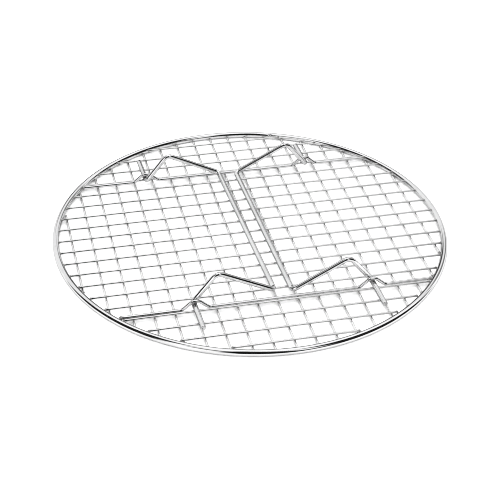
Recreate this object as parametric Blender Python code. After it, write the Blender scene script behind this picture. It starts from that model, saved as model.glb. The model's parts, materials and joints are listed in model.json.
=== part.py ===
"""Round wire cooling rack with two folding legs, lying upside down with the legs folded.

Units are metres.  The origin is on the table, under the centre of the rim.  X runs along the cross
wires, Y along the long wires, and +Z points to the side that carries the legs.  The food side
faces -Z.
"""
from math import cos, pi, radians, sin, sqrt, tan

import bpy
from mathutils import Vector

# ---------------------------------------------------------------- driving dimensions
OUTER_DIAMETER = 0.302
RIM_WIRE = 0.0050
GRID_WIRE = 0.0019
SUPPORT_WIRE = 0.0026
LEG_WIRE = 0.0038

WIRES_EACH_WAY = 19
CROSS_PITCH = 0.01508
LONG_PITCH = 0.01495
GRID_CENTRE = Vector((-0.0011, -0.0020, 0.0))

SUPPORT_ROW = 6
SUPPORT_INSET = 0.0028
HUMP_WIDTH = 0.0195
HUMP_CREST_WIDTH = 0.0050
HUMP_BEND = 0.0040
HUMP_INSET = 0.0006

# Each leg: hinge line at the grid's middle, and its turn about Z.
LEG_LEFT_X = -0.0643
LEG_LEFT_YAW = radians(1.75)
LEG_RIGHT_X = 0.0682
LEG_RIGHT_YAW = radians(1.3)
# Leg wire, measured from the hinge line (reach, rise) and from the leg's middle (along the line).
PIN_REACH = 0.1145
ARM_PLANE = 0.0831
APEX_REACH = 0.0174
APEX_RISE = 0.0218
BAR_REACH = 0.0597
LEG_BEND = 0.0035
APEX_BEND = 0.0055

# ---------------------------------------------------------------- fits and mesh fineness
GAP = 0.0003
HUMP_PLAY = 0.0003
RIM_SEGMENTS = 96
RIM_SECTION_SIDES = 18
WIRE_BEVEL_RESOLUTION = 4
FLAT_DOWN = radians(15)
BEND_STEPS = 6

# ---------------------------------------------------------------- levels and radii that follow
RIM_CENTRE_RADIUS = (OUTER_DIAMETER - RIM_WIRE) / 2
RIM_INNER_RADIUS = RIM_CENTRE_RADIUS - RIM_WIRE / 2
RIM_LEVEL = RIM_WIRE / 2 * cos(pi / RIM_SECTION_SIDES)
CROSS_LEVEL = RIM_LEVEL + (GRID_WIRE + GAP) / 2
LONG_LEVEL = RIM_LEVEL - (GRID_WIRE + GAP) / 2
SUPPORT_LEVEL = LONG_LEVEL + GRID_WIRE / 2 + GAP + SUPPORT_WIRE / 2
PIN_LEVEL = CROSS_LEVEL + GRID_WIRE / 2 + GAP + LEG_WIRE / 2
HUMP_LEVEL = PIN_LEVEL + LEG_WIRE / 2 + HUMP_PLAY + SUPPORT_WIRE / 2

# ---------------------------------------------------------------- finishes: colour and roughness
RIM_FINISH = ((0.60, 0.61, 0.63, 1.0), 0.16)
GRID_FINISH = ((0.66, 0.67, 0.69, 1.0), 0.20)
SUPPORT_FINISH = ((0.66, 0.67, 0.69, 1.0), 0.18)
LEG_FINISH = ((0.70, 0.71, 0.73, 1.0), 0.14)


def clear_scene():
    """Remove every object of the open scene."""
    for found in list(bpy.data.objects):
        bpy.data.objects.remove(found, do_unlink=True)


def new_collection(name):
    """Return a new collection linked to the scene."""
    collection = bpy.data.collections.new(name)
    bpy.context.scene.collection.children.link(collection)
    return collection


def steel(name, finish):
    """Return a polished steel material for one piece."""
    colour, roughness = finish
    material = bpy.data.materials.new(name + "_steel")
    material.use_nodes = True
    shader = material.node_tree.nodes["Principled BSDF"]
    shader.inputs["Base Color"].default_value = colour
    shader.inputs["Metallic"].default_value = 1.0
    shader.inputs["Roughness"].default_value = roughness
    return material


def adopt(piece, name, collection, material):
    """Name a piece, give it its material and move it to the part's collection."""
    piece.name = name
    piece.data.name = name
    piece.data.materials.append(material)
    for owner in list(piece.users_collection):
        owner.objects.unlink(piece)
    collection.objects.link(piece)


def bent_path(corners, bends):
    """Replace each inner corner by an arc of its bend radius and return all the points."""
    points = [corners[0]]
    for before, corner, after, radius in zip(corners, corners[1:], corners[2:], bends):
        back = (before - corner).normalized()
        ahead = (after - corner).normalized()
        half_angle = back.angle(ahead) / 2
        setback = radius / tan(half_angle)
        centre = corner + (back + ahead).normalized() * (radius / sin(half_angle))
        start = corner + back * setback - centre
        end = corner + ahead * setback - centre
        sweep = pi - 2 * half_angle
        for step in range(BEND_STEPS + 1):
            share = step / BEND_STEPS
            spoke = start * sin((1 - share) * sweep) + end * sin(share * sweep)
            points.append(centre + spoke / sin(sweep))
    points.append(corners[-1])
    return points


def wire(name, points, diameter, collection, material, tilt):
    """Add a twelve-sided wire through the points, with flat cut ends.

    A level wire with a tilt of FLAT_DOWN has a facet facing straight down; with no tilt its
    facets face 15, 45 and 75 degrees either side of that.
    """
    curve = bpy.data.curves.new(name, "CURVE")
    curve.dimensions = "3D"
    curve.bevel_depth = diameter / 2
    curve.bevel_resolution = WIRE_BEVEL_RESOLUTION
    curve.use_fill_caps = True
    curve.twist_mode = "Z_UP"
    spline = curve.splines.new("POLY")
    spline.points.add(len(points) - 1)
    for target, point in zip(spline.points, points):
        target.co = (*point, 1.0)
        target.tilt = tilt
    spline.use_smooth = True
    piece = bpy.data.objects.new(name, curve)
    curve.materials.append(material)
    collection.objects.link(piece)
    return piece


def rim(collection):
    """The ring, turned half a segment so that a facet is centred on its front.

    The section has no corner at the bottom, so the ring rests on flat facets.
    """
    bpy.ops.mesh.primitive_torus_add(
        major_segments=RIM_SEGMENTS,
        minor_segments=RIM_SECTION_SIDES,
        major_radius=RIM_CENTRE_RADIUS,
        minor_radius=RIM_WIRE / 2,
        location=(0.0, 0.0, RIM_LEVEL),
        rotation=(0.0, 0.0, pi / RIM_SEGMENTS),
    )
    piece = bpy.context.active_object
    piece.data.shade_smooth()
    adopt(piece, "rim", collection, steel("rim", RIM_FINISH))


def half_chord(offset, diameter):
    """Half the length of a wire whose ends stop a gap short of the rim's inner wall."""
    outer_edge = abs(offset) + diameter / 2
    return sqrt((RIM_INNER_RADIUS - GAP) ** 2 - outer_edge ** 2)


def row_offsets(pitch):
    """Distances of the grid wires from the middle one, in order."""
    half = (WIRES_EACH_WAY - 1) // 2
    return [row * pitch for row in range(-half, half + 1)]


def grid(collection):
    """Nineteen cross wires over nineteen long wires."""
    for number, offset in enumerate(row_offsets(CROSS_PITCH), start=1):
        name = f"cross_wire_{number:02d}"
        y = GRID_CENTRE.y + offset
        reach = half_chord(y, GRID_WIRE)
        ends = [Vector((-reach, 0.0, 0.0)), Vector((reach, 0.0, 0.0))]
        material = steel(name, GRID_FINISH)
        piece = wire(name, ends, GRID_WIRE, collection, material, FLAT_DOWN)
        piece.location = (0.0, y, CROSS_LEVEL)
    for number, offset in enumerate(row_offsets(LONG_PITCH), start=1):
        name = f"long_wire_{number:02d}"
        x = GRID_CENTRE.x + offset
        reach = half_chord(x, GRID_WIRE)
        ends = [Vector((0.0, -reach, 0.0)), Vector((0.0, reach, 0.0))]
        material = steel(name, GRID_FINISH)
        piece = wire(name, ends, GRID_WIRE, collection, material, FLAT_DOWN)
        piece.location = (x, 0.0, LONG_LEVEL)


def hinge_x(leg_x, leg_yaw, y):
    """Where a leg's hinge line crosses the row at y."""
    return leg_x - (y - GRID_CENTRE.y) * tan(leg_yaw)


def support(name, y, collection):
    """A heavier wire from rim to rim with a hump over each leg's hinge line."""
    reach = half_chord(y, SUPPORT_WIRE)
    rise = HUMP_LEVEL - SUPPORT_LEVEL
    hump_profile = [
        (-HUMP_WIDTH / 2, 0.0),
        (-HUMP_CREST_WIDTH / 2, rise),
        (HUMP_CREST_WIDTH / 2, rise),
        (HUMP_WIDTH / 2, 0.0),
    ]
    hump_centres = [
        hinge_x(LEG_LEFT_X, LEG_LEFT_YAW, y) + HUMP_INSET,
        hinge_x(LEG_RIGHT_X, LEG_RIGHT_YAW, y) - HUMP_INSET,
    ]
    corners = [Vector((-reach, 0.0, 0.0))]
    for centre in hump_centres:
        corners += [Vector((centre + along, 0.0, up)) for along, up in hump_profile]
    corners.append(Vector((reach, 0.0, 0.0)))
    bends = [HUMP_BEND] * (len(corners) - 2)
    path = bent_path(corners, bends)
    piece = wire(name, path, SUPPORT_WIRE, collection, steel(name, SUPPORT_FINISH), FLAT_DOWN)
    piece.location = (0.0, y, SUPPORT_LEVEL)


def leg_path():
    """Centre line of a leg: pin, arm, foot bar, arm and pin.

    Local Y is the hinge line, +X points to the foot bar and +Z away from the grid.
    """
    half = [
        Vector((0.0, -PIN_REACH, 0.0)),
        Vector((0.0, -ARM_PLANE, 0.0)),
        Vector((APEX_REACH, -ARM_PLANE, APEX_RISE)),
        Vector((BAR_REACH, -ARM_PLANE, 0.0)),
    ]
    other_half = [Vector((corner.x, -corner.y, corner.z)) for corner in reversed(half)]
    bends = [LEG_BEND, APEX_BEND, LEG_BEND]
    return bent_path(half + other_half, bends + bends[::-1])


def leg(name, x, yaw, collection):
    """A folded leg whose origin is on its hinge line."""
    piece = wire(name, leg_path(), LEG_WIRE, collection, steel(name, LEG_FINISH), 0.0)
    piece.location = (x, GRID_CENTRE.y, PIN_LEVEL)
    piece.rotation_euler = (0.0, 0.0, yaw)


def build():
    """Make the whole rack."""
    clear_scene()
    rack = new_collection("cooling_rack")
    rim(rack)
    grid(rack)
    inset_row = SUPPORT_ROW * CROSS_PITCH - SUPPORT_INSET
    support("support_front", GRID_CENTRE.y - inset_row, rack)
    support("support_back", GRID_CENTRE.y + inset_row, rack)
    leg("leg_left", LEG_LEFT_X, LEG_LEFT_YAW, rack)
    leg("leg_right", LEG_RIGHT_X, LEG_RIGHT_YAW + pi, rack)


build()
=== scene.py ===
"""Looks of the folding wire cooling rack: smooth round wires, their welds, the studio and the camera.

Metres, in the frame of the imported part.  Every wire is built afresh on the centre line of its CAD
node, so it lies where the design puts it, and the welds are placed where those wires meet.
"""

import json
from collections import namedtuple
from math import ceil, cos, exp, pi, radians, sin

import bmesh
import bpy
import numpy as np
from mathutils import Euler, Matrix, Vector, noise

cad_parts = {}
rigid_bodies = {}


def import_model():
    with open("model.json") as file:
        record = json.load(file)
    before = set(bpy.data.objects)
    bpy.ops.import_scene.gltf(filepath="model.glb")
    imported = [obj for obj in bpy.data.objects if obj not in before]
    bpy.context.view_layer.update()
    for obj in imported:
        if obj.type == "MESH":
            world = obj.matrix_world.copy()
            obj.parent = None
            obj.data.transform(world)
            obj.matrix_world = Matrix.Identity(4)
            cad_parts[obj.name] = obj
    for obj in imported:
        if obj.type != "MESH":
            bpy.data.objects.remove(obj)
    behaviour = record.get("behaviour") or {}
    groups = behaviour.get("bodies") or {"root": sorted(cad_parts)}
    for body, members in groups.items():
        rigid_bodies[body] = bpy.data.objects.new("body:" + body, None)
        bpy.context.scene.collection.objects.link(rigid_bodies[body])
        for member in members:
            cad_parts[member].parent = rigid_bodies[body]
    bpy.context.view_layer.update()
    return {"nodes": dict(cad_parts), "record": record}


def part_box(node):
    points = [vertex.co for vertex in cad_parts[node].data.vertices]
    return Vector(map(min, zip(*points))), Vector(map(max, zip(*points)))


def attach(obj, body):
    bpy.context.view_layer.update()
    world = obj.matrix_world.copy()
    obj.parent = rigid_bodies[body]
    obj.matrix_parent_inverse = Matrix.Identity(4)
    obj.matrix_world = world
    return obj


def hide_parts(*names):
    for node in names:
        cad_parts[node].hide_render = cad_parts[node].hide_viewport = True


MM = 0.001

# ---------------------------------------------------------------- wires
WIRE_SIDES = 24
POINT_SPACING = 3.0 * MM
SAME_SPOT_DIGITS = 6
SAME_POINT = 0.01 * MM
END_BAND = 0.3 * MM
EASE_STEPS = 4
CUT_EDGE_ROUNDING = 0.22
CUT_EDGE_STEPS = 4
BEND_FLATTENING = 0.09
NO_BEND = 1e-9
WANDER = 0.06 * MM
WANDER_LENGTHS = (47.0 * MM, 113.0 * MM)
WANDER_SEED = 4
WELD_SINK = 0.9 * MM
HUMP_RISE = 0.2 * MM

# ---------------------------------------------------------------- rim
RIM_STEPS = 540
SEAM_ANGLE = radians(70.0)
SEAM_REACH = 4.0 * MM
SEAM_STEPS = 48
SEAM_RIDGE = 0.16 * MM
SEAM_RIDGE_SPREAD = 0.45 * MM
SEAM_RIDGE_OFFSET = 0.75 * MM

# ---------------------------------------------------------------- welds: half sizes along, across, up
CROSSING_NUGGET = Vector((1.12, 0.55, 0.50)) * MM
RIM_NUGGET = Vector((1.00, 1.08, 1.02)) * MM
SUPPORT_NUGGET = Vector((1.45, 1.50, 1.40)) * MM
NUGGET_SWELL = 0.13
NUGGET_GRAIN = 900.0
NUGGET_DETAIL = 3
BEAD_SINK = WELD_SINK / 3

# ---------------------------------------------------------------- marks: gone at MARK_END reaches, and
# full from one reach nearer
MARK_END = 1.6
HEAT_REACH = 0.5 * MM
# painted shade on the leg pins where they lie under the support humps
HUMP_SHADE_REACH = 2.6 * MM
# painted shade: reach and spacing of a dark streak along the front support's left end
SHADE_STREAK_REACH = 1.3 * MM
SHADE_STREAK_SPACING = 1.0 * MM

# ---------------------------------------------------------------- steels: colour, roughness, and how
# bright the edge of a drawn wire reflects; an edge below 1 is painted shade on the wire's outlines
RIM_STEEL = ((0.86, 0.86, 0.865), 0.015, 0.60)
# the cross and long wires are one steel: the long wires' paler colour and brighter edge are painted
# light
CROSS_STEEL = ((0.86, 0.86, 0.86), 0.04, 0.90)
LONG_STEEL = ((0.96, 0.96, 0.96), 0.10, 1.00)
SUPPORT_STEEL = ((0.88, 0.88, 0.885), 0.03, 0.05)
LEG_STEEL = ((0.88, 0.88, 0.885), 0.02, 0.05)
# the crossing weld beads are real welds; their near-black colour is painted contact shade at each
# crossing
CROSSING_WELD_AND_SHADE = ((0.10, 0.098, 0.095), 0.30)
RIM_WELD_STEEL = ((0.60, 0.598, 0.595), 0.20)
HEAT_TINT = (0.26, 0.255, 0.25)
# near-black tint of the support and leg marks: dark weld joints, and painted shade at the front
# support's left end and under the humps
JOINT_AND_PAINTED_SHADE_TINT = (0.03, 0.03, 0.03)

# ---------------------------------------------------------------- drawn surface: grain is per metre
DIE_LINES = (90.0, 7000.0, 1.0)
DIE_LINE_RANGE = (0.45, 0.75)
DIE_LINE_SHARE = 0.35
DIE_LINE_SHADE = 0.72
DIE_LINE_ROUGHNESS = 0.03
WAVES = (160.0, 420.0, 1.0)
WAVE_HEIGHT = 0.6
HAZE_GRAIN = 55.0
HAZE_RANGE = (0.40, 0.68)
HAZE_SHADE = 0.90
HAZE_ROUGHNESS = 0.03
PIT_GRAIN = 2600.0
PIT_RANGE = (0.70, 0.78)
PIT_SHARE = 0.5
PIT_SHADE = 0.45
MARK_RANGE = (0.30, 0.60)
MARK_SHARES = (0.55, 0.95)
MARK_ROUGHNESS = 0.22
DRAWN_BUMP = 0.35
DRAWN_DEPTH = 0.02 * MM

# ---------------------------------------------------------------- weld surface
WELD_GRAIN = 900.0
WELD_RANGE = (0.35, 0.65)
WELD_ROUGHNESS = 0.25
RIPPLE_GRAIN = 3200.0
WELD_BUMP = 0.6
WELD_DEPTH = 0.06 * MM

# ---------------------------------------------------------------- studio: cards are placed in degrees,
# clockwise from +Y as seen from above, and up from the horizon
FLOOR_SIZE = 12.0
FLOOR_COLOUR = (0.93, 0.93, 0.93)
# share of the floor colour seen only in reflections: painted shade in what the wires reflect
FLOOR_SHADE_IN_REFLECTIONS = 0.62
TENT_LIGHT = 2.20
TENT_REFLECTED = 1.24
Card = namedtuple("Card", "azimuth elevation half_width half_height softness brightness")
CARDS = (
    Card(116, 35, 34, 36, 5, 0.01),
    Card(159, 16, 11, 14, 4, 0.03),
    Card(-174, 38, 22, 52, 5, 0.01),
    Card(-87, 36, 32, 36, 5, 0.01),
    Card(-145, 46, 16, 12, 5, 0.10),
    Card(8.5, 11, 19.5, 18, 4, 0.06),
    Card(56, 26, 16, 13, 5, 0.20),
    Card(0, 20, 52, 32, 8, 0.80),
)

# ---------------------------------------------------------------- camera
CAMERA_PLACE = Vector((-0.2063, -0.8271, 0.5751))
CAMERA_DIP = radians(34.71)
CAMERA_YAW = radians(14.01)
CAMERA_ROLL = radians(1.18)
CAMERA_LENS = 96.03
CAMERA_SENSOR = 36.0
PIXEL_BLUR = 1.0

Wire = namedtuple("Wire", "node line radius")


# ================================================================ reading the frame
def clear_scene():
    """Remove every object of the open scene."""
    for found in list(bpy.data.objects):
        bpy.data.objects.remove(found, do_unlink=True)


def measure(node, along):
    """Read a CAD wire, walking its sections from the end that is lowest along an axis."""
    mesh = frame["nodes"][node].data
    spot_of = {}
    spots = []
    corner = []
    for vertex in mesh.vertices:
        key = tuple(round(value, SAME_SPOT_DIGITS) for value in vertex.co)
        if key not in spot_of:
            spot_of[key] = len(spots)
            spots.append(vertex.co.copy())
        corner.append(spot_of[key])
    neighbours = [set() for _ in spots]
    for edge in mesh.edges:
        one, other = (corner[index] for index in edge.vertices)
        neighbours[one].add(other)
        neighbours[other].add(one)
    lowest = min(spot[along] for spot in spots)
    section = {index for index, spot in enumerate(spots) if spot[along] < lowest + END_BAND}
    first = section
    walked = set(section)
    line = []
    while section:
        line.append(sum((spots[index] for index in section), Vector()) / len(section))
        section = {index for here in section for index in neighbours[here]} - walked
        walked |= section
    radius = max((spots[index] - line[0]).length for index in first)
    return Wire(node, line, radius)


# ================================================================ centre lines
def eased(line):
    """Round off the small turns between the straight pieces of a bent centre line."""
    points = [line[0]]
    for before, corner, after in zip(line, line[1:], line[2:]):
        ease = min((before - corner).length, (after - corner).length) / 2
        start = corner + (before - corner).normalized() * ease
        end = corner + (after - corner).normalized() * ease
        for step in range(EASE_STEPS + 1):
            share = step / EASE_STEPS
            point = start.lerp(corner, share).lerp(corner.lerp(end, share), share)
            if (point - points[-1]).length > SAME_POINT:
                points.append(point)
    points.append(line[-1])
    return points


def spaced(line):
    """Add points so that none is further than the spacing from the next."""
    points = [line[0]]
    for here, there in zip(line, line[1:]):
        count = ceil((there - here).length / POINT_SPACING)
        points += [here.lerp(there, step / count) for step in range(1, count + 1)]
    return points


def lengthened(line, extra):
    """Push both ends of a line outward."""
    start = line[0] + (line[0] - line[1]).normalized() * extra
    end = line[-1] + (line[-1] - line[-2]).normalized() * extra
    return [start, *line[1:-1], end]


def wandered(points, draw):
    """Let a straight wire stray sideways a little, and not at all at its ends."""
    length = (points[-1] - points[0]).length
    sideways = (points[-1] - points[0]).cross(Vector((0, 0, 1))).normalized()
    phases = draw.uniform(0, 2 * pi, len(WANDER_LENGTHS))
    strayed = []
    for point in points:
        place = (point - points[0]).length
        taper = sin(pi * place / length)
        waves = sum(sin(2 * pi * place / wave + turn) for wave, turn in zip(WANDER_LENGTHS, phases))
        strayed.append(point + sideways * (WANDER * taper * waves / len(WANDER_LENGTHS)))
    return strayed


def with_cut_ends(points, radius):
    """Points and radii of a wire whose two cut edges are rounded over."""
    rounding = radius * CUT_EDGE_ROUNDING
    inward = (points[1] - points[0]).normalized()
    outward = (points[-1] - points[-2]).normalized()
    turns = [pi / 2 * step / CUT_EDGE_STEPS for step in range(CUT_EDGE_STEPS, -1, -1)]
    insets = [rounding * (1 - sin(turn)) for turn in turns]
    radii = [radius - rounding * (1 - cos(turn)) for turn in turns]
    start = [points[0] + inward * inset for inset in insets]
    end = [points[-1] - outward * inset for inset in reversed(insets)]
    middle = points[1:-1]
    return start + middle + end, radii + [radius] * len(middle) + radii[::-1]


# ================================================================ skins
def unit(vectors):
    """Scale each row to length one."""
    return vectors / np.linalg.norm(vectors, axis=-1, keepdims=True)


def section_frames(tangents):
    """Two directions across each tangent that turn as little as they can along the wire."""
    across = []
    last = np.array((0.0, 0.0, 1.0))
    for tangent in tangents:
        last = last - tangent * (last @ tangent)
        last = last / np.linalg.norm(last)
        across.append(last)
    across = np.array(across)
    return across, np.cross(tangents, across)


def section_corners(points, radii, closed):
    """Corners of every section of a wire, pressed flatter towards the inside of a sharp bend."""
    steps = steps_between(points, closed)
    ahead = unit(steps)
    behind = np.roll(ahead, 1, 0)
    if not closed:
        behind[0] = ahead[0]
    across, up = section_frames(unit(ahead + behind))

    turns = np.linspace(0, 2 * pi, WIRE_SIDES, endpoint=False)
    offsets = np.cos(turns)[None, :, None] * across[:, None]
    offsets = offsets + np.sin(turns)[None, :, None] * up[:, None]
    offsets *= radii[:, None, None]

    bend = (ahead - behind) / np.linalg.norm(steps, axis=1)[:, None]
    sharpness = np.linalg.norm(bend, axis=1)
    inside = bend / np.maximum(sharpness, NO_BEND)[:, None]
    flattening = BEND_FLATTENING * np.minimum(sharpness * radii, 1.0)
    reach = np.einsum("ijk,ik->ij", offsets, inside) * flattening[:, None]
    return points[:, None] + offsets - reach[:, :, None] * inside[:, None]


def steps_between(points, closed):
    """The step from each point to the next; the last one of an open line repeats the one before."""
    steps = np.roll(points, -1, 0) - points
    if not closed:
        steps[-1] = steps[-2]
    return steps


def skin_faces(count, closed):
    """Faces between the sections of a wire, and the two caps of an open one."""
    faces = []
    for strip in range(count if closed else count - 1):
        here, there = strip * WIRE_SIDES, (strip + 1) % count * WIRE_SIDES
        for side in range(WIRE_SIDES):
            beside = (side + 1) % WIRE_SIDES
            faces.append((here + side, here + beside, there + beside, there + side))
    if not closed:
        faces.append(tuple(range(WIRE_SIDES - 1, -1, -1)))
        faces.append(tuple(range((count - 1) * WIRE_SIDES, count * WIRE_SIDES)))
    return faces


def skin_uvs(points, radii, closed):
    """UVs in metres along the wire and round it, in the order of skin_faces."""
    steps = steps_between(points, closed)
    lengths = np.concatenate([[0.0], np.cumsum(np.linalg.norm(steps, axis=1))])
    rounds = 2 * pi * radii.max() * np.arange(WIRE_SIDES + 1) / WIRE_SIDES
    uvs = []
    for strip in range(len(points) if closed else len(points) - 1):
        start, end = lengths[strip], lengths[strip + 1]
        for low, high in zip(rounds, rounds[1:]):
            uvs += [(start, low), (start, high), (end, high), (end, low)]
    if not closed:
        uvs += [(0.0, turn) for turn in rounds[-2::-1]]
        uvs += [(lengths[-2], turn) for turn in rounds[:-1]]
    return uvs


def skin(name, points, radii, closed=False):
    """Skin a round wire over the points."""
    points = np.array(points, float)
    radii = np.array(radii, float)
    corners = section_corners(points, radii, closed)
    mesh = bpy.data.meshes.new(name)
    mesh.from_pydata(corners.reshape(-1, 3).tolist(), [], skin_faces(len(points), closed))
    layer = mesh.uv_layers.new(name="wire")
    layer.data.foreach_set("uv", np.array(skin_uvs(points, radii, closed), np.float32).ravel())
    mesh.shade_smooth()
    piece = bpy.data.objects.new(name, mesh)
    bpy.context.scene.collection.objects.link(piece)
    return piece


def mark(piece, *groups):
    """Store on each vertex how close it lies to a mark, from 0 to 1.

    A group is the places of some marks and the reach they share.
    """
    mesh = piece.data
    corners = np.empty(len(mesh.vertices) * 3)
    mesh.vertices.foreach_get("co", corners)
    corners = corners.reshape(-1, 3)
    marked = np.zeros(len(corners))
    for places, reach in groups:
        for place in places:
            distance = np.linalg.norm(corners - np.array(place), axis=1)
            marked = np.maximum(marked, np.clip(MARK_END - distance / reach, 0, 1))
    layer = mesh.attributes.new("marked", "FLOAT", "POINT")
    layer.data.foreach_set("value", marked.astype(np.float32))


# ================================================================ node materials
def node(tree, kind, settings=None, **inputs):
    """Add a shader node; an input is a value, or a socket to link from.

    An input is named by its label, or by its place as i0, i1 and so on.
    """
    made = tree.nodes.new(kind)
    for key, value in (settings or {}).items():
        setattr(made, key, value)
    for key, value in inputs.items():
        socket = made.inputs[int(key[1:])] if key[1:].isdigit() else made.inputs[key.replace("_", " ")]
        if isinstance(value, bpy.types.NodeSocket):
            tree.links.new(value, socket)
        else:
            socket.default_value = value
    return made


def calculate(tree, operation, *values):
    """Add a Math node and return its result."""
    inputs = {f"i{index}": value for index, value in enumerate(values)}
    return node(tree, "ShaderNodeMath", {"operation": operation}, **inputs).outputs[0]


def ramp(tree, value, start, end, low, high):
    """Map a value smoothly from one range to another."""
    made = node(
        tree, "ShaderNodeMapRange", {"interpolation_type": "SMOOTHSTEP"},
        Value=value, From_Min=start, From_Max=end, To_Min=low, To_Max=high,
    )
    return made.outputs[0]


def mixed(tree, share, one, other):
    """Mix two colours."""
    made = tree.nodes.new("ShaderNodeMix")
    made.data_type = "RGBA"
    for index, value in ((0, share), (6, one), (7, other)):
        if isinstance(value, bpy.types.NodeSocket):
            tree.links.new(value, made.inputs[index])
        else:
            made.inputs[index].default_value = value
    return made.outputs[2]


def noise_of(tree, place, detail, scale=1.0, stretch=(1, 1, 1)):
    """Noise on a place vector, stretched per axis; 0.5 on average."""
    mapped = node(tree, "ShaderNodeMapping", {}, Vector=place, Scale=stretch).outputs[0]
    return node(tree, "ShaderNodeTexNoise", {}, Vector=mapped, Scale=scale, Detail=detail).outputs[0]


def opaque(colour, share=1.0):
    """A colour with alpha, darkened to a share of itself."""
    return (colour[0] * share, colour[1] * share, colour[2] * share, 1.0)


def drawn_steel(name, finish, marked_tint):
    """Polished drawn wire: fine die lines along it, handling haze, tiny pits, and tinted marks, some of
    which are painted shade.
    """
    colour, roughness, edge = finish
    material = bpy.data.materials.new(name)
    material.use_nodes = True
    tree = material.node_tree
    shader = tree.nodes["Principled BSDF"]
    along = node(tree, "ShaderNodeUVMap", {"uv_map": "wire"}).outputs[0]
    place = node(tree, "ShaderNodeTexCoord").outputs["Object"]
    marked = node(tree, "ShaderNodeAttribute", {"attribute_name": "marked"}).outputs["Fac"]

    die_lines = noise_of(tree, along, detail=3.0, stretch=DIE_LINES)
    waves = noise_of(tree, along, detail=2.0, stretch=WAVES)
    haze = ramp(tree, noise_of(tree, place, detail=4.0, scale=HAZE_GRAIN), *HAZE_RANGE, 0.0, 1.0)
    pits = ramp(tree, noise_of(tree, place, detail=1.0, scale=PIT_GRAIN), *PIT_RANGE, 0.0, 1.0)

    worn = mixed(tree, haze, opaque(colour), opaque(colour, HAZE_SHADE))
    line_share = ramp(tree, die_lines, *DIE_LINE_RANGE, 0.0, DIE_LINE_SHARE)
    lined = mixed(tree, line_share, worn, opaque(colour, DIE_LINE_SHADE))
    pit_share = calculate(tree, "MULTIPLY", pits, PIT_SHARE)
    pitted = mixed(tree, pit_share, lined, opaque(colour, PIT_SHADE))
    tint = calculate(tree, "MULTIPLY", marked, ramp(tree, waves, *MARK_RANGE, *MARK_SHARES))
    tree.links.new(mixed(tree, tint, pitted, opaque(marked_tint)), shader.inputs["Base Color"])

    hazed = calculate(tree, "MULTIPLY_ADD", haze, HAZE_ROUGHNESS, roughness)
    scratched = calculate(tree, "MULTIPLY_ADD", die_lines, DIE_LINE_ROUGHNESS, hazed)
    roughened_by_marks = calculate(tree, "MULTIPLY_ADD", tint, MARK_ROUGHNESS, scratched)
    tree.links.new(roughened_by_marks, shader.inputs["Roughness"])
    shader.inputs["Metallic"].default_value = 1.0
    # an edge below 1 dims the grazing reflection: painted shade on the wire's outlines
    shader.inputs["Specular Tint"].default_value = opaque((1.0, 1.0, 1.0), edge)

    relief = calculate(tree, "MULTIPLY_ADD", waves, WAVE_HEIGHT, die_lines)
    dented = calculate(tree, "SUBTRACT", relief, pits)
    bump = node(tree, "ShaderNodeBump", {}, Strength=DRAWN_BUMP, Distance=DRAWN_DEPTH, Height=dented)
    tree.links.new(bump.outputs[0], shader.inputs["Normal"])
    return material


def weld_steel(name, finish):
    """Melted and set metal of a weld: rough, rippled, and browned by the heat."""
    colour, roughness = finish
    material = bpy.data.materials.new(name)
    material.use_nodes = True
    tree = material.node_tree
    shader = tree.nodes["Principled BSDF"]
    place = node(tree, "ShaderNodeTexCoord").outputs["Object"]
    scale = noise_of(tree, place, detail=4.0, scale=WELD_GRAIN)
    ripple = noise_of(tree, place, detail=2.0, scale=RIPPLE_GRAIN)
    browned = ramp(tree, scale, *WELD_RANGE, 0.0, 1.0)
    tree.links.new(mixed(tree, browned, opaque(colour), opaque(HEAT_TINT)), shader.inputs["Base Color"])
    scaled = calculate(tree, "MULTIPLY_ADD", scale, WELD_ROUGHNESS, roughness)
    tree.links.new(scaled, shader.inputs["Roughness"])
    shader.inputs["Metallic"].default_value = 1.0
    bump = node(tree, "ShaderNodeBump", {}, Strength=WELD_BUMP, Distance=WELD_DEPTH, Height=ripple)
    tree.links.new(bump.outputs[0], shader.inputs["Normal"])
    return material


# ================================================================ pieces
def settle(piece, cad_node, material):
    """Give a piece its material and let it stand for a CAD node on that node's body."""
    piece.data.materials.append(material)
    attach(piece, body_of[cad_node])
    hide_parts(cad_node)


def rim_angles():
    """Angles round the rim from the seam, closer together near it."""
    reach = SEAM_REACH / rim_centre_radius
    near = np.linspace(-reach, reach, SEAM_STEPS)
    far = np.linspace(reach, 2 * pi - reach, RIM_STEPS)[1:-1]
    return np.concatenate([near, far])


def build_rim(material):
    """The ring, with the two low ridges of its dressed butt weld."""
    points, radii = [], []
    for angle in rim_angles():
        turn = SEAM_ANGLE + angle
        points.append((rim_centre_radius * cos(turn), rim_centre_radius * sin(turn), rim_level))
        from_seam = (angle + pi) % (2 * pi) - pi
        place = abs(from_seam) * rim_centre_radius
        ridge = exp(-((place - SEAM_RIDGE_OFFSET) / SEAM_RIDGE_SPREAD) ** 2)
        radii.append(rim_radius + SEAM_RIDGE * ridge)
    ring = skin("rim_ring", points, radii, closed=True)
    for vertex in ring.data.vertices:
        vertex.co.z = max(vertex.co.z, 0.0)
    seam = Vector((rim_centre_radius * cos(SEAM_ANGLE), rim_centre_radius * sin(SEAM_ANGLE), rim_level))
    over = [seam + Vector((0, 0, side * rim_radius / 2)) for side in (-1, 1)]
    welded = [end for wire in grid_wires + supports for end in weld_ends(wire)]
    mark(ring, (over + welded, HEAT_REACH))
    settle(ring, "rim", material)


def weld_ends(wire):
    """The two places where a wire meets the rim."""
    return wire.line[0], wire.line[-1]


def weld_places(wire):
    """Every place where a wire is welded: its two ends and its crossings."""
    return list(weld_ends(wire)) + [place for place, pair in crossings if wire.node in pair]


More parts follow.
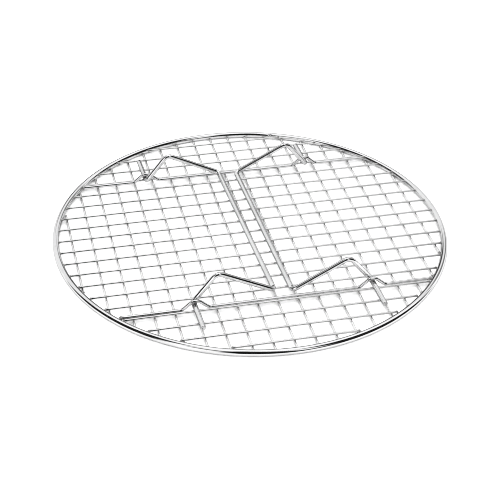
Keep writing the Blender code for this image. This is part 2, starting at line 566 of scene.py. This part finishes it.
def build_grid_wires(cross_material, long_material):
    """Straight wires that run into the rim."""
    draw = np.random.default_rng(WANDER_SEED)
    for wire in grid_wires:
        line = wandered(spaced(lengthened(wire.line, WELD_SINK)), draw)
        points, radii = with_cut_ends(line, wire.radius)
        piece = skin(wire.node + "_round", points, radii)
        mark(piece, (weld_places(wire), HEAT_REACH))
        settle(piece, wire.node, cross_material if wire in cross_wires else long_material)


def shade_streak_places(support):
    """Places along the low front flank of a support's left end, where a dark streak of painted shade
    goes.
    """
    start, end = support.line[:2]
    flank = Vector((0, -1, -1)).normalized() * support.radius
    count = ceil((end - start).length / SHADE_STREAK_SPACING)
    return [start.lerp(end, step / count) + flank for step in range(count + 1)]


def build_supports(material):
    """The two humped wires that hold the legs; the front one has a streak of painted shade along its
    left end.
    """
    for wire in supports:
        points, radii = with_cut_ends(spaced(eased(lengthened(wire.line, WELD_SINK))), wire.radius)
        piece = skin(wire.node + "_round", points, radii)
        # a dark streak of painted shade along the front support's left end
        shade_streak = shade_streak_places(wire) if wire.node == "support_front" else []
        mark(piece, (weld_places(wire), HEAT_REACH), (shade_streak, SHADE_STREAK_REACH))
        settle(piece, wire.node, material)


def pin_place(leg, support):
    """Where a pin of a leg lies under the hump of a support, where painted shade darkens the pin."""
    level = support.line[0].y
    for one, other in zip(leg.line, leg.line[1:]):
        if min(one.y, other.y) <= level <= max(one.y, other.y):
            return one.lerp(other, (level - one.y) / (other.y - one.y))
    return leg.line[0]


def build_legs(material):
    """The two bent legs, each riding on its own body."""
    for wire in legs:
        points, radii = with_cut_ends(spaced(eased(wire.line)), wire.radius)
        piece = skin(wire.node + "_round", points, radii)
        # painted shade on each pin where it lies under a support's hump
        mark(piece, ([pin_place(wire, support) for support in supports], HUMP_SHADE_REACH))
        settle(piece, wire.node, material)


def in_hump(upper, x):
    """Whether an upper wire is raised above its level at x, and so clear of the wire below."""
    level = upper.line[0].z + HUMP_RISE
    for one, other in zip(upper.line, upper.line[1:]):
        over = min(one.x, other.x) <= x <= max(one.x, other.x)
        if over and max(one.z, other.z) > level:
            return True
    return False


def find_crossings():
    """Each place where an upper wire lies over a long wire, with the two wires' names."""
    found = []
    for upper in cross_wires + supports:
        for lower in long_wires:
            x, y = lower.line[0].x, upper.line[0].y
            spans_x = upper.line[0].x < x < upper.line[-1].x
            spans_y = lower.line[0].y < y < lower.line[-1].y
            if spans_x and spans_y and not in_hump(upper, x):
                under = upper.line[0].z - upper.radius
                over = lower.line[0].z + lower.radius
                found.append((Vector((x, y, (under + over) / 2)), (upper.node, lower.node)))
    return found


def nuggets(name, places, material):
    """Small uneven weld beads, each given by its centre, heading and half sizes."""
    beads = bmesh.new()
    for centre, heading, sizes in places:
        turn = Matrix.Rotation(heading, 4, "Z")
        shape = Matrix.Translation(centre) @ turn @ Matrix.Diagonal((*sizes, 1.0))
        made = bmesh.ops.create_icosphere(beads, subdivisions=NUGGET_DETAIL, radius=1.0, matrix=shape)
        for vertex in made["verts"]:
            swell = noise.noise(vertex.co * NUGGET_GRAIN) * NUGGET_SWELL
            vertex.co += (vertex.co - centre) * swell
    mesh = bpy.data.meshes.new(name)
    beads.to_mesh(mesh)
    beads.free()
    mesh.shade_smooth()
    mesh.materials.append(material)
    piece = bpy.data.objects.new(name, mesh)
    bpy.context.scene.collection.objects.link(piece)
    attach(piece, "rack")


def end_beads(wires, sizes):
    """A bead where each end of each wire meets the rim."""
    beads = []
    for wire in wires:
        for end in weld_ends(wire):
            other = wire.line[-1] if end is wire.line[0] else wire.line[0]
            outward = (end - other).normalized()
            heading = np.arctan2(outward.y, outward.x)
            beads.append((end + outward * BEAD_SINK, heading, sizes))
    return beads


def build_welds(crossing_shade_material, rim_material):
    """Beads at the crossings, at the grid's ends and at the supports' ends; the crossing beads are
    coloured near black, a painted contact shade.
    """
    along_long_wires = pi / 2
    dots = [(place, along_long_wires, CROSSING_NUGGET) for place, _ in crossings]
    nuggets("crossing_welds", dots, crossing_shade_material)
    nuggets("rim_welds", end_beads(grid_wires, RIM_NUGGET), rim_material)
    nuggets("support_welds", end_beads(supports, SUPPORT_NUGGET), rim_material)


# ================================================================ studio
def build_floor():
    """A plain pale floor, painted darker in reflections only: a painted shade in what the wires reflect.
    """
    bpy.ops.mesh.primitive_plane_add(size=FLOOR_SIZE, location=(0, 0, 0))
    floor = bpy.context.active_object
    floor.name = "floor"
    material = bpy.data.materials.new("pale_floor")
    material.use_nodes = True
    shader = material.node_tree.nodes["Principled BSDF"]
    glossy = node(material.node_tree, "ShaderNodeLightPath").outputs["Is Glossy Ray"]
    shaded_in_reflections = opaque(FLOOR_COLOUR, FLOOR_SHADE_IN_REFLECTIONS)
    paint = mixed(material.node_tree, glossy, opaque(FLOOR_COLOUR), shaded_in_reflections)
    material.node_tree.links.new(paint, shader.inputs["Base Color"])
    shader.inputs["Roughness"].default_value = 1.0
    shader.inputs["Specular IOR Level"].default_value = 0.0
    floor.data.materials.append(material)


def card_cover(tree, azimuth, elevation, card):
    """How much of a direction a card fills, from 0 to 1."""
    sideways = calculate(tree, "SUBTRACT", azimuth, radians(card.azimuth))
    wrapped = calculate(tree, "ABSOLUTE", calculate(tree, "WRAP", sideways, -pi, pi))
    upward = calculate(tree, "ABSOLUTE", calculate(tree, "SUBTRACT", elevation, radians(card.elevation)))
    soft = radians(card.softness)
    half_width = radians(card.half_width)
    half_height = radians(card.half_height)
    across = ramp(tree, wrapped, half_width - soft, half_width + soft, 1.0, 0.0)
    high = ramp(tree, upward, half_height - soft, half_height + soft, 1.0, 0.0)
    return calculate(tree, "MULTIPLY", across, high)


def build_tent():
    """A white light tent; only reflections see the dark cards in it."""
    world = bpy.data.worlds.new("light_tent")
    bpy.context.scene.world = world
    world.use_nodes = True
    tree = world.node_tree
    direction = node(tree, "ShaderNodeTexCoord").outputs["Generated"]
    x, y, z = node(tree, "ShaderNodeSeparateXYZ", {}, Vector=direction).outputs
    azimuth = calculate(tree, "ARCTAN2", x, y)
    elevation = calculate(tree, "ARCSINE", z)
    seen = TENT_REFLECTED
    for card in CARDS:
        cover = card_cover(tree, azimuth, elevation, card)
        dimming = calculate(tree, "MULTIPLY_ADD", cover, card.brightness - 1.0, 1.0)
        seen = calculate(tree, "MULTIPLY", seen, dimming)
    glossy = node(tree, "ShaderNodeLightPath").outputs["Is Glossy Ray"]
    change = calculate(tree, "SUBTRACT", seen, TENT_LIGHT)
    strength = calculate(tree, "MULTIPLY_ADD", change, glossy, TENT_LIGHT)
    tree.links.new(strength, tree.nodes["Background"].inputs["Strength"])
    tree.nodes["Background"].inputs["Color"].default_value = opaque((1.0, 1.0, 1.0))


def build_camera():
    """A long lens above the front left, tilted a little."""
    data = bpy.data.cameras.new("camera")
    data.lens = CAMERA_LENS
    data.sensor_width = CAMERA_SENSOR
    camera = bpy.data.objects.new("camera", data)
    bpy.context.scene.collection.objects.link(camera)
    aim = Euler((pi / 2 - CAMERA_DIP, 0.0, -CAMERA_YAW)).to_matrix().to_4x4()
    roll = Matrix.Rotation(CAMERA_ROLL, 4, "Z")
    camera.matrix_world = Matrix.Translation(CAMERA_PLACE) @ aim @ roll
    bpy.context.scene.camera = camera
    bpy.context.scene.view_settings.view_transform = "Standard"
    bpy.context.scene.cycles.filter_width = PIXEL_BLUR


# ================================================================ the scene
clear_scene()
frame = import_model()

behaviour = frame["record"]["behaviour"]
body_of = {member: body for body, members in behaviour["bodies"].items() for member in members}

rim_low, rim_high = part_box("rim")
rim_radius = (rim_high.z - rim_low.z) / 2
rim_level = (rim_high.z + rim_low.z) / 2
rim_centre_radius = (rim_high.x - rim_low.x) / 2 - rim_radius

node_names = sorted(frame["nodes"])
cross_wires = [measure(name, 0) for name in node_names if name.startswith("cross_wire")]
long_wires = [measure(name, 1) for name in node_names if name.startswith("long_wire")]
supports = [measure(name, 0) for name in node_names if name.startswith("support")]
legs = [measure(name, 1) for name in node_names if name.startswith("leg")]
grid_wires = cross_wires + long_wires
crossings = find_crossings()

build_rim(drawn_steel("rim_polish", RIM_STEEL, HEAT_TINT))
cross_polish = drawn_steel("cross_polish", CROSS_STEEL, HEAT_TINT)
long_polish = drawn_steel("long_polish", LONG_STEEL, HEAT_TINT)
build_grid_wires(cross_polish, long_polish)
# the supports' and legs' marks carry painted shade as well as dark weld joints
build_supports(drawn_steel("support_polish", SUPPORT_STEEL, JOINT_AND_PAINTED_SHADE_TINT))
build_legs(drawn_steel("leg_polish", LEG_STEEL, JOINT_AND_PAINTED_SHADE_TINT))
# crossing weld beads: real welds coloured with painted contact shade
crossing_weld_and_shade = weld_steel("crossing_weld_painted_shade", CROSSING_WELD_AND_SHADE)
rim_metal = weld_steel("rim_weld_metal", RIM_WELD_STEEL)
build_welds(crossing_weld_and_shade, rim_metal)
build_floor()
build_tent()
build_camera()
